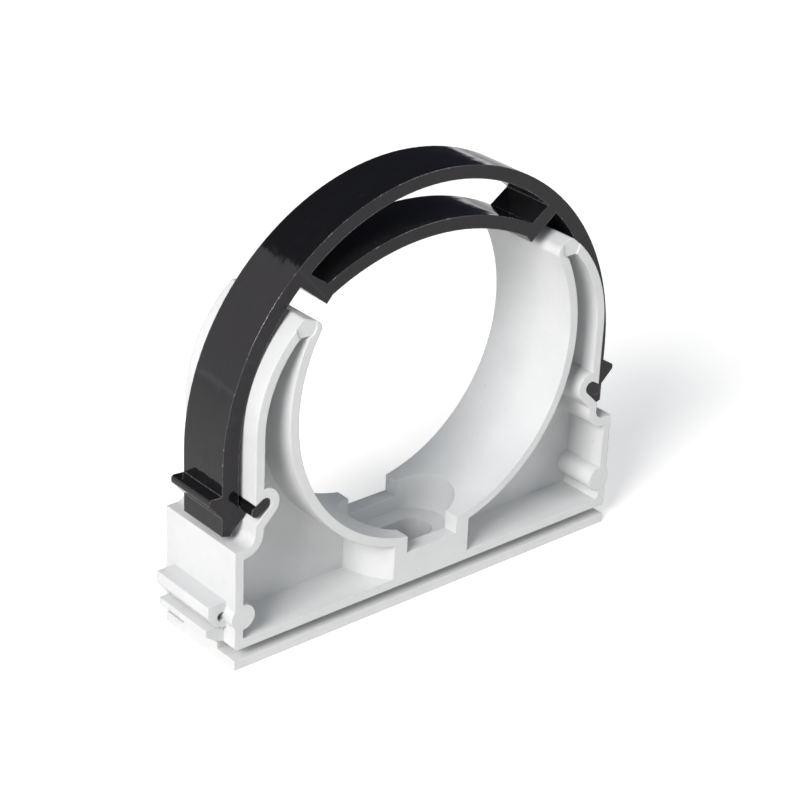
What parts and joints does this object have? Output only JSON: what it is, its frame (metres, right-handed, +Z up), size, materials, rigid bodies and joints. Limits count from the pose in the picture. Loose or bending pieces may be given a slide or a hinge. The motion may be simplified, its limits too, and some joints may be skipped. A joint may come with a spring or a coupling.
{
  "type": "conduit clip",
  "caption": "Clip for rigid conduit: a round cradle on a grooved foot with a slotted screw seat, closed by a separate hooked strap with a sprung arch.",
  "frame": {"origin": "centre of the foot's underside, where the screw slot opens", "axes": "+X along the foot, +Y along the conduit's axis, +Z up from the wall or tray the foot stands on"},
  "size_m": [0.0961, 0.0204, 0.0821],
  "materials": {
    "base_plastic": "light grey injection moulded plastic, fine matt",
    "strap_plastic": "black injection moulded plastic, semi-gloss"
  },
  "bodies": {
    "root": {"base": "base_plastic", "strap": "strap_plastic"}
  },
  "joints": []
}
